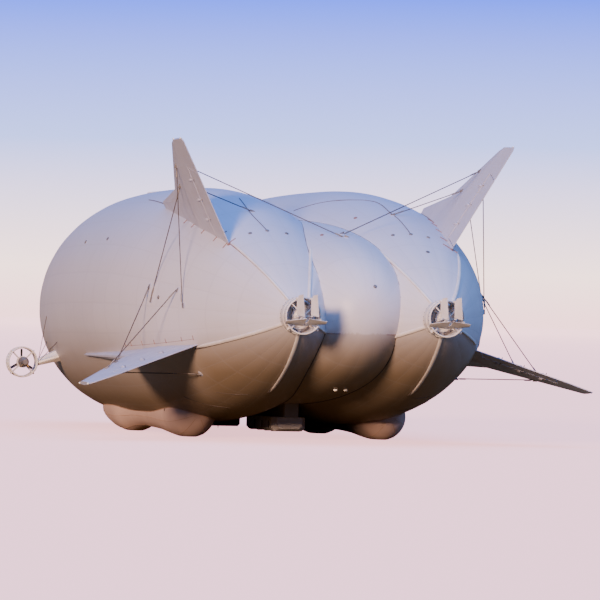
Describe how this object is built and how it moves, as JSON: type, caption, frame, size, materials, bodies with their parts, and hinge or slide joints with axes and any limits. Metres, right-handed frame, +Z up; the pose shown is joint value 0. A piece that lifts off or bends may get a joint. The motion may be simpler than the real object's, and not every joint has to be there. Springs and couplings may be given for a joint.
{
  "type": "scale model of a hybrid airship at one tenth of full size",
  "caption": "Hybrid airship with a three-lobed hull, braced tail fins, ducted propellers that swivel, elevators, rudders and inflated landing tubes, as a scale model.",
  "frame": {"origin": "on the ground under the middle of the length and width", "axes": "+X to the nose, +Y to port, +Z up"},
  "size_m": [9.1982, 4.3522, 2.5301],
  "materials": {
    "hull_fabric": "satin",
    "tube_fabric": "matte",
    "fin_fabric": "satin",
    "stay_cable": "satin",
    "engine_metal": "satin",
    "duct_shell": "satin",
    "propeller_blade": "satin",
    "cabin_glass": "gloss",
    "cabin_shell": "satin",
    "beam_paint": "satin",
    "mooring_metal": "satin"
  },
  "bodies": {
    "hull": {"envelope_port": "hull_fabric", "envelope_starboard": "hull_fabric", "fin_upper_port": "fin_fabric", "fin_upper_starboard": "fin_fabric", "fin_lower_port": "fin_fabric", "fin_lower_starboard": "fin_fabric", "stay_upper_outer_fore_port": "stay_cable", "stay_upper_outer_fore_starboard": "stay_cable", "stay_upper_outer_aft_port": "stay_cable", "stay_upper_outer_aft_starboard": "stay_cable", "stay_upper_inner_fore_port": "stay_cable", "stay_upper_inner_fore_starboard": "stay_cable", "stay_upper_inner_aft_port": "stay_cable", "stay_upper_inner_aft_starboard": "stay_cable", "stay_lower_over_fore_port": "stay_cable", "stay_lower_over_fore_starboard": "stay_cable", "stay_lower_over_aft_port": "stay_cable", "stay_lower_over_aft_starboard": "stay_cable", "stay_lower_under_port": "stay_cable", "stay_lower_under_starboard": "stay_cable", "stern_engine_port": "engine_metal", "stern_engine_starboard": "engine_metal", "stern_duct_port": "duct_shell", "stern_duct_starboard": "duct_shell", "pylon_port": "duct_shell", "pylon_starboard": "duct_shell", "landing_tube_port": "tube_fabric", "landing_tube_starboard": "tube_fabric", "cabin_glazing_side_port": "cabin_glass", "cabin_glazing_side_starboard": "cabin_glass", "envelope_centre": "hull_fabric", "cabin": "cabin_shell", "cabin_glazing_front": "cabin_glass", "payload_beam": "beam_paint", "fuel_pod": "cabin_shell", "mooring_nose": "mooring_metal"},
    "control_surface_upper_port": {"control_surface_upper_port": "fin_fabric"},
    "control_surface_lower_port": {"control_surface_lower_port": "fin_fabric"},
    "stern_propeller_port": {"stern_propeller_port": "propeller_blade"},
    "stern_elevator_port": {"stern_elevator_port": "duct_shell"},
    "stern_rudder_outer_port": {"stern_rudder_outer_port": "duct_shell"},
    "stern_rudder_inner_port": {"stern_rudder_inner_port": "duct_shell"},
    "forward_unit_port": {"forward_duct_port": "duct_shell", "forward_engine_port": "engine_metal"},
    "forward_propeller_port": {"forward_propeller_port": "propeller_blade"},
    "cabin_door_port": {"cabin_door_port": "cabin_shell"},
    "control_surface_upper_starboard": {"control_surface_upper_starboard": "fin_fabric"},
    "control_surface_lower_starboard": {"control_surface_lower_starboard": "fin_fabric"},
    "stern_propeller_starboard": {"stern_propeller_starboard": "propeller_blade"},
    "stern_elevator_starboard": {"stern_elevator_starboard": "duct_shell"},
    "stern_rudder_outer_starboard": {"stern_rudder_outer_starboard": "duct_shell"},
    "stern_rudder_inner_starboard": {"stern_rudder_inner_starboard": "duct_shell"},
    "forward_unit_starboard": {"forward_duct_starboard": "duct_shell", "forward_engine_starboard": "engine_metal"},
    "forward_propeller_starboard": {"forward_propeller_starboard": "propeller_blade"},
    "cabin_door_starboard": {"cabin_door_starboard": "cabin_shell"}
  },
  "joints": [
    {"name": "control_surface_upper_port_hinge", "type": "hinge", "parent": "hull", "child": "control_surface_upper_port", "pos_m": [-2.976, 1.01324, 1.74639], "axis": [-0.2986, 0.4554, 0.8387], "range_deg": [-25, 25]},
    {"name": "control_surface_lower_port_hinge", "type": "hinge", "parent": "hull", "child": "control_surface_lower_port", "pos_m": [-2.95, 1.33522, 0.76195], "axis": [-0.361, 0.8802, -0.3082], "range_deg": [-25, 25]},
    {"name": "stern_propeller_port_spin", "type": "hinge", "parent": "hull", "child": "stern_propeller_port", "pos_m": [-4.36, 0.607, 1.066], "axis": [1, 0, 0], "continuous": true},
    {"name": "stern_elevator_port_hinge", "type": "hinge", "parent": "hull", "child": "stern_elevator_port", "pos_m": [-4.524, 0.607, 1.014], "axis": [0, 1, 0], "range_deg": [-48, 2]},
    {"name": "stern_rudder_outer_port_hinge", "type": "hinge", "parent": "hull", "child": "stern_rudder_outer_port", "pos_m": [-4.466, 0.667, 1.066], "axis": [0, 0, 1], "range_deg": [-35, 5]},
    {"name": "stern_rudder_inner_port_hinge", "type": "hinge", "parent": "hull", "child": "stern_rudder_inner_port", "pos_m": [-4.466, 0.547, 1.066], "axis": [0, 0, 1], "range_deg": [-35, 5]},
    {"name": "forward_unit_port_tilt", "type": "hinge", "parent": "hull", "child": "forward_unit_port", "pos_m": [1.8, 1.741, 0.593], "axis": [0, 1, 0], "range_deg": [-20, 20]},
    {"name": "forward_propeller_port_spin", "type": "hinge", "parent": "forward_unit_port", "child": "forward_propeller_port", "pos_m": [1.83, 1.741, 0.593], "axis": [1, 0, 0], "continuous": true},
    {"name": "cabin_door_port_hinge", "type": "hinge", "parent": "hull", "child": "cabin_door_port", "pos_m": [1.9205, 0.177, 0.121], "axis": [0, 0, -1], "range_deg": [0, 90]},
    {"name": "control_surface_upper_starboard_hinge", "type": "hinge", "parent": "hull", "child": "control_surface_upper_starboard", "pos_m": [-2.976, -1.01324, 1.74639], "axis": [0.2986, 0.4554, -0.8387], "range_deg": [-25, 25]},
    {"name": "control_surface_lower_starboard_hinge", "type": "hinge", "parent": "hull", "child": "control_surface_lower_starboard", "pos_m": [-2.95, -1.33522, 0.76195], "axis": [0.361, 0.8802, 0.3082], "range_deg": [-25, 25]},
    {"name": "stern_propeller_starboard_spin", "type": "hinge", "parent": "hull", "child": "stern_propeller_starboard", "pos_m": [-4.36, -0.607, 1.066], "axis": [1, 0, 0], "continuous": true},
    {"name": "stern_elevator_starboard_hinge", "type": "hinge", "parent": "hull", "child": "stern_elevator_starboard", "pos_m": [-4.524, -0.607, 1.014], "axis": [0, 1, 0], "range_deg": [-48, 2]},
    {"name": "stern_rudder_outer_starboard_hinge", "type": "hinge", "parent": "hull", "child": "stern_rudder_outer_starboard", "pos_m": [-4.466, -0.667, 1.066], "axis": [0, 0, 1], "range_deg": [-35, 5]},
    {"name": "stern_rudder_inner_starboard_hinge", "type": "hinge", "parent": "hull", "child": "stern_rudder_inner_starboard", "pos_m": [-4.466, -0.547, 1.066], "axis": [0, 0, 1], "range_deg": [-35, 5]},
    {"name": "forward_unit_starboard_tilt", "type": "hinge", "parent": "hull", "child": "forward_unit_starboard", "pos_m": [1.8, -1.741, 0.593], "axis": [0, 1, 0], "range_deg": [-20, 20]},
    {"name": "forward_propeller_starboard_spin", "type": "hinge", "parent": "forward_unit_starboard", "child": "forward_propeller_starboard", "pos_m": [1.83, -1.741, 0.593], "axis": [1, 0, 0], "continuous": true},
    {"name": "cabin_door_starboard_hinge", "type": "hinge", "parent": "hull", "child": "cabin_door_starboard", "pos_m": [1.9205, -0.177, 0.121], "axis": [0, 0, 1], "range_deg": [0, 90]}
  ],
  "couplings": [
    {"joint": "stern_rudder_inner_port_hinge", "follows": "stern_rudder_outer_port_hinge", "ratio": 1},
    {"joint": "stern_rudder_inner_starboard_hinge", "follows": "stern_rudder_outer_starboard_hinge", "ratio": 1}
  ]
}
